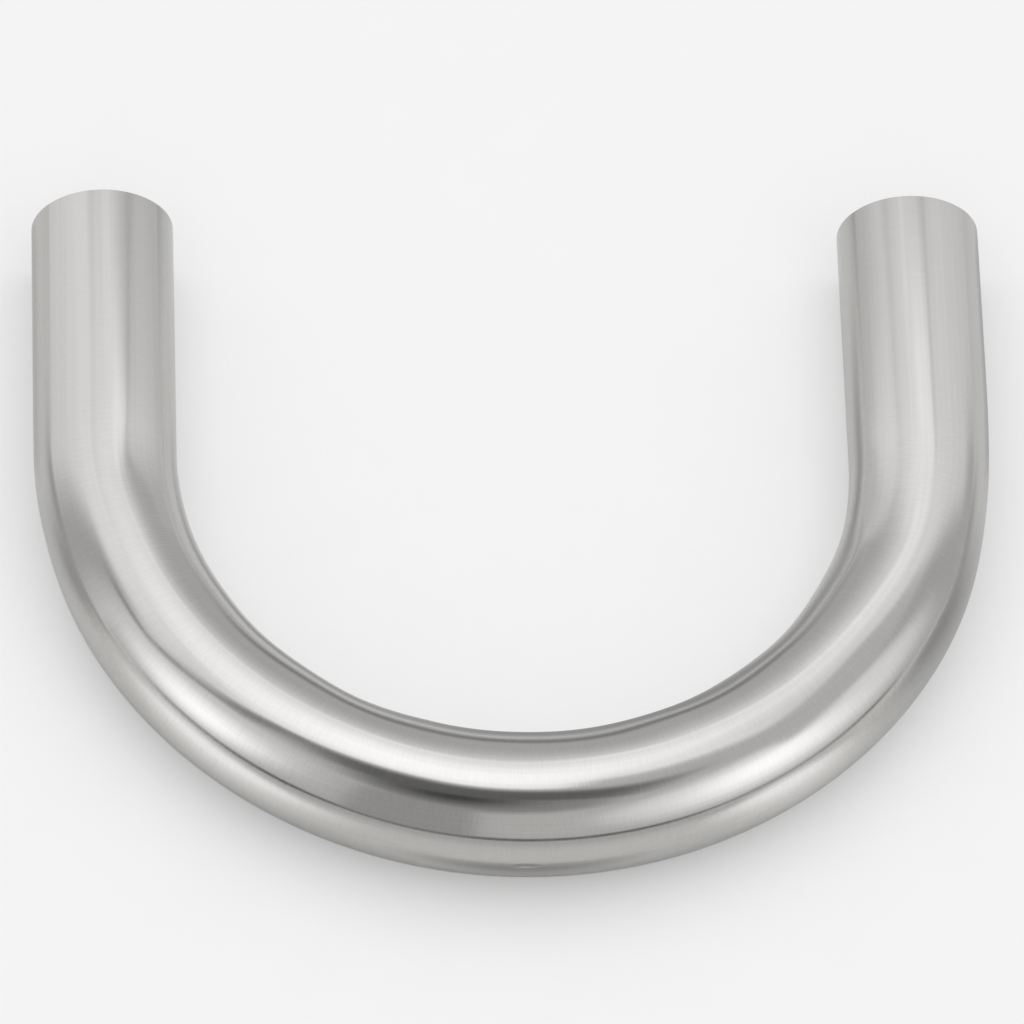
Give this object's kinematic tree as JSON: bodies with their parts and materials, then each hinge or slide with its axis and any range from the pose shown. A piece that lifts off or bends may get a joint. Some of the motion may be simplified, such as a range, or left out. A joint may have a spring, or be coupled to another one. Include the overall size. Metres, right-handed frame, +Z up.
{
  "type": "return bend",
  "caption": "Round steel tube bent through half a turn, with a straight leg at each end, to send a pipe run back the way it came.",
  "frame": {"origin": "middle of the footprint, on the surface that the bend lies on", "axes": "+Z up; the legs run along +Y to their cut ends, the bend faces -Y, and +X runs from leg to leg"},
  "size_m": [0.3408, 0.2684, 0.0508],
  "materials": {
    "tube_steel": "satin polished stainless steel, with fine polishing marks round the tube"
  },
  "bodies": {
    "root": {"return_bend": "tube_steel"}
  },
  "joints": []
}
